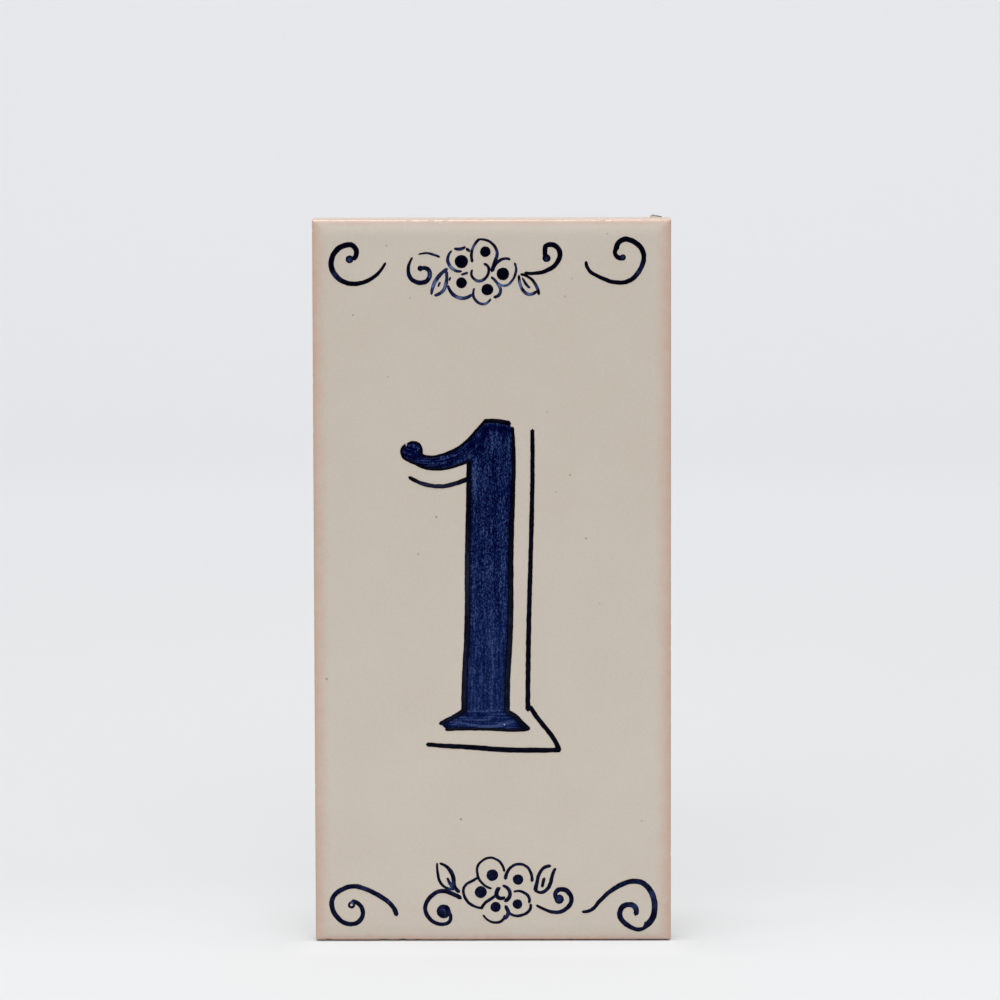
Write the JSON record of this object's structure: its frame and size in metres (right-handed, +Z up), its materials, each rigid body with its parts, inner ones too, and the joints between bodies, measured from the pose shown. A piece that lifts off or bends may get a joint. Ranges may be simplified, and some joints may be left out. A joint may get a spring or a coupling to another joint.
{
  "type": "house number plaque",
  "caption": "Upright glazed ceramic house number tile with a hand-painted blue figure, a drop shadow, corner scrolls and flower sprays.",
  "frame": {"origin": "centre of the back face, the face that is bedded on the wall", "axes": "+Z up along the tile's long side, +Y out of the back towards the wall, so the painted face looks along -Y"},
  "size_m": [0.069, 0.0071, 0.14],
  "materials": {
    "glazed_tile": "gloss",
    "cobalt_paint": "gloss",
    "navy_paint": "gloss"
  },
  "bodies": {
    "root": {"tile": "glazed_tile", "numeral": "cobalt_paint", "numeral_lines": "navy_paint", "ornament": "navy_paint"}
  },
  "joints": []
}
